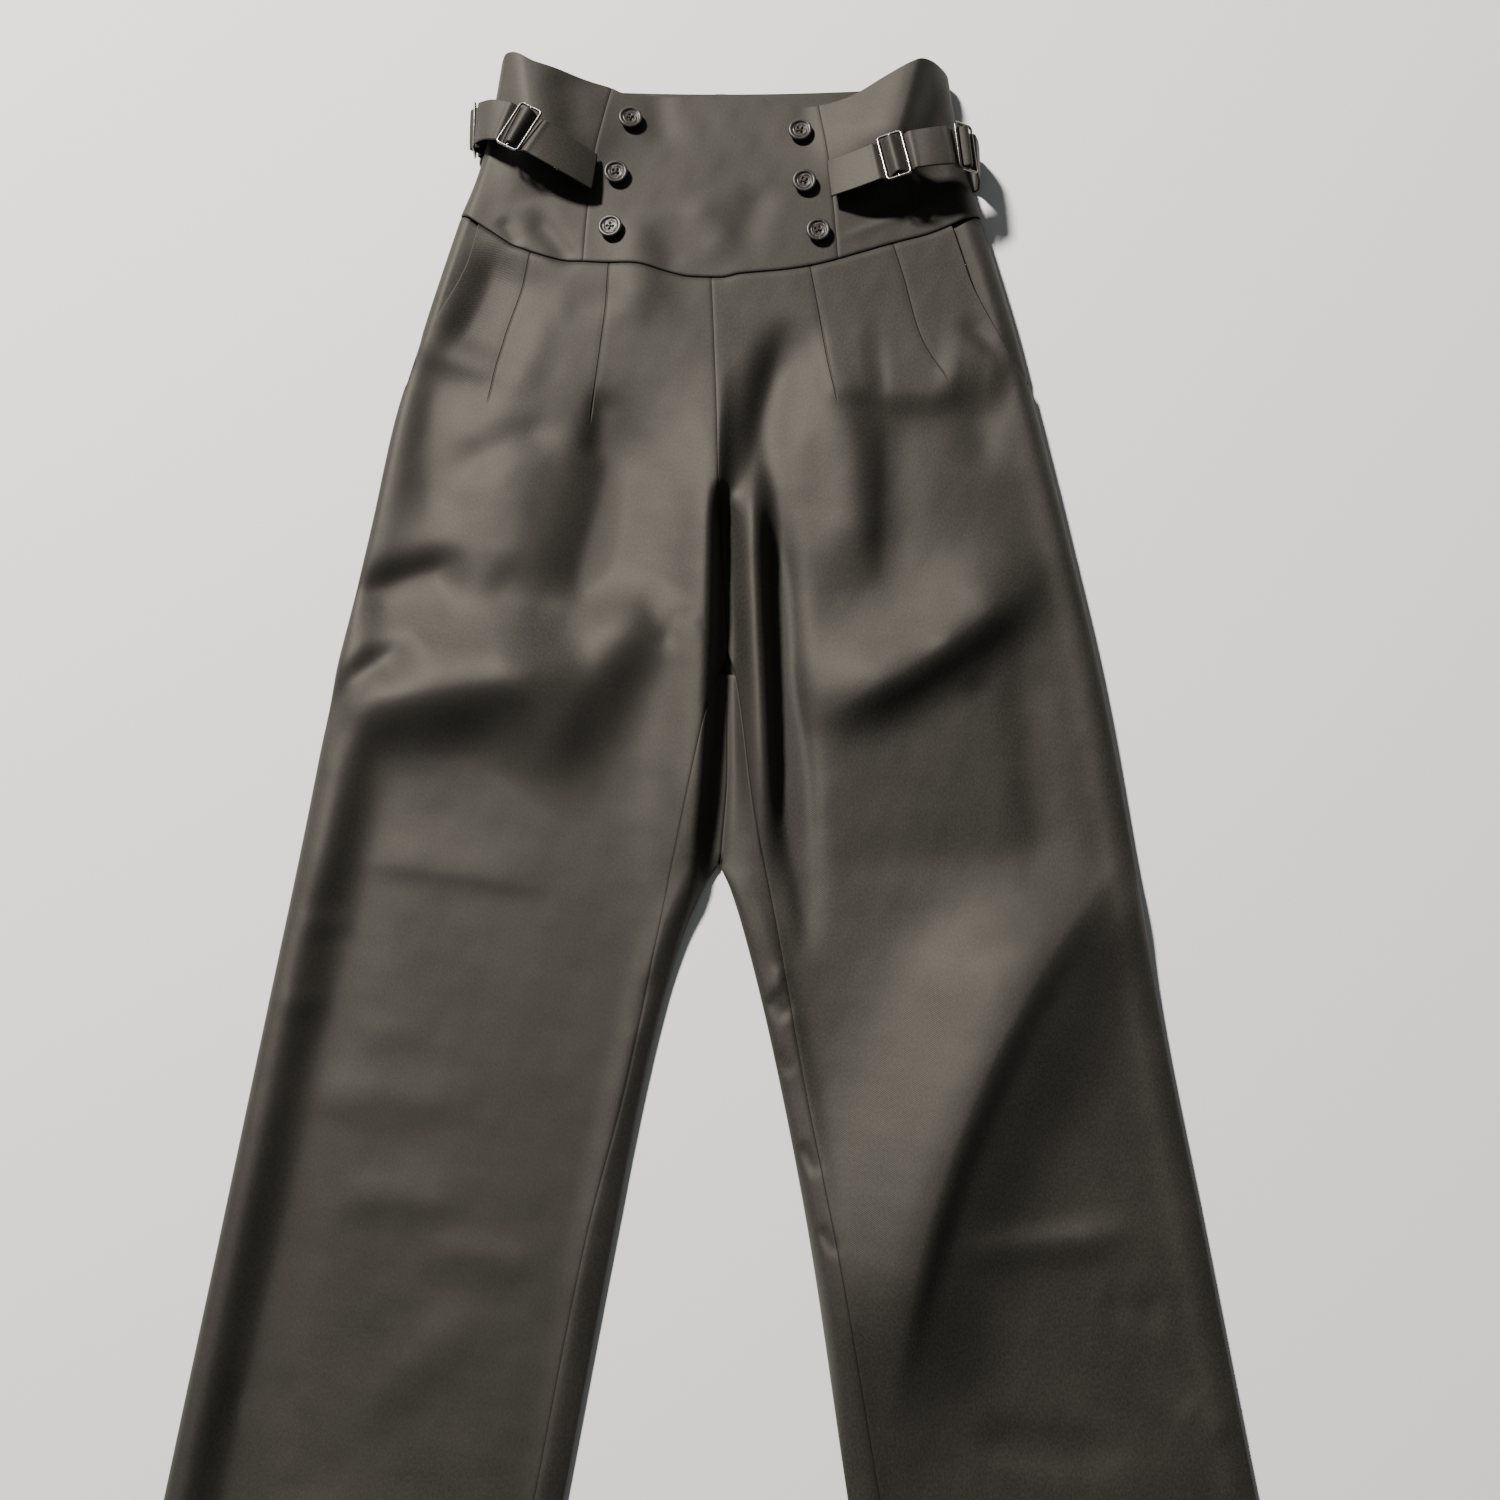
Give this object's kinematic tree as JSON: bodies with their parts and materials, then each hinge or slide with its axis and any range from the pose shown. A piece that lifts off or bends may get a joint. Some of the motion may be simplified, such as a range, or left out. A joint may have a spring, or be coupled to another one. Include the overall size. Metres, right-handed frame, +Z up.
{
  "type": "high-waist straight trousers",
  "caption": "High-waisted straight-leg trousers in dark suiting, laid flat on their back: buttoned waist panel, side cinch straps with metal sliders, slanted pockets and front darts",
  "frame": {"origin": "Middle of the underside's bounding box, on the surface that the trousers lie on", "axes": "+X is the wearer's left, +Y runs from the hems to the waist, +Z is up out of the front"},
  "size_m": [0.7466, 1.2116, 0.0559],
  "materials": {
    "suiting": "matt twill",
    "slider_metal": "polished wire",
    "button_horn": "satin carved horn"
  },
  "bodies": {
    "root": {"front_right": "suiting", "pocket_side_right": "suiting", "back_right": "suiting", "waist_side_right": "suiting", "waist_back_right": "suiting", "strap_right": "suiting", "front_left": "suiting", "pocket_side_left": "suiting", "back_left": "suiting", "waist_side_left": "suiting", "waist_back_left": "suiting", "strap_left": "suiting", "waist_centre": "suiting", "slider_right_1": "slider_metal", "slider_right_2": "slider_metal", "slider_left_1": "slider_metal", "slider_left_2": "slider_metal", "button_right_top": "button_horn", "button_right_middle": "button_horn", "button_right_bottom": "button_horn", "button_left_top": "button_horn", "button_left_middle": "button_horn", "button_left_bottom": "button_horn"}
  },
  "joints": []
}
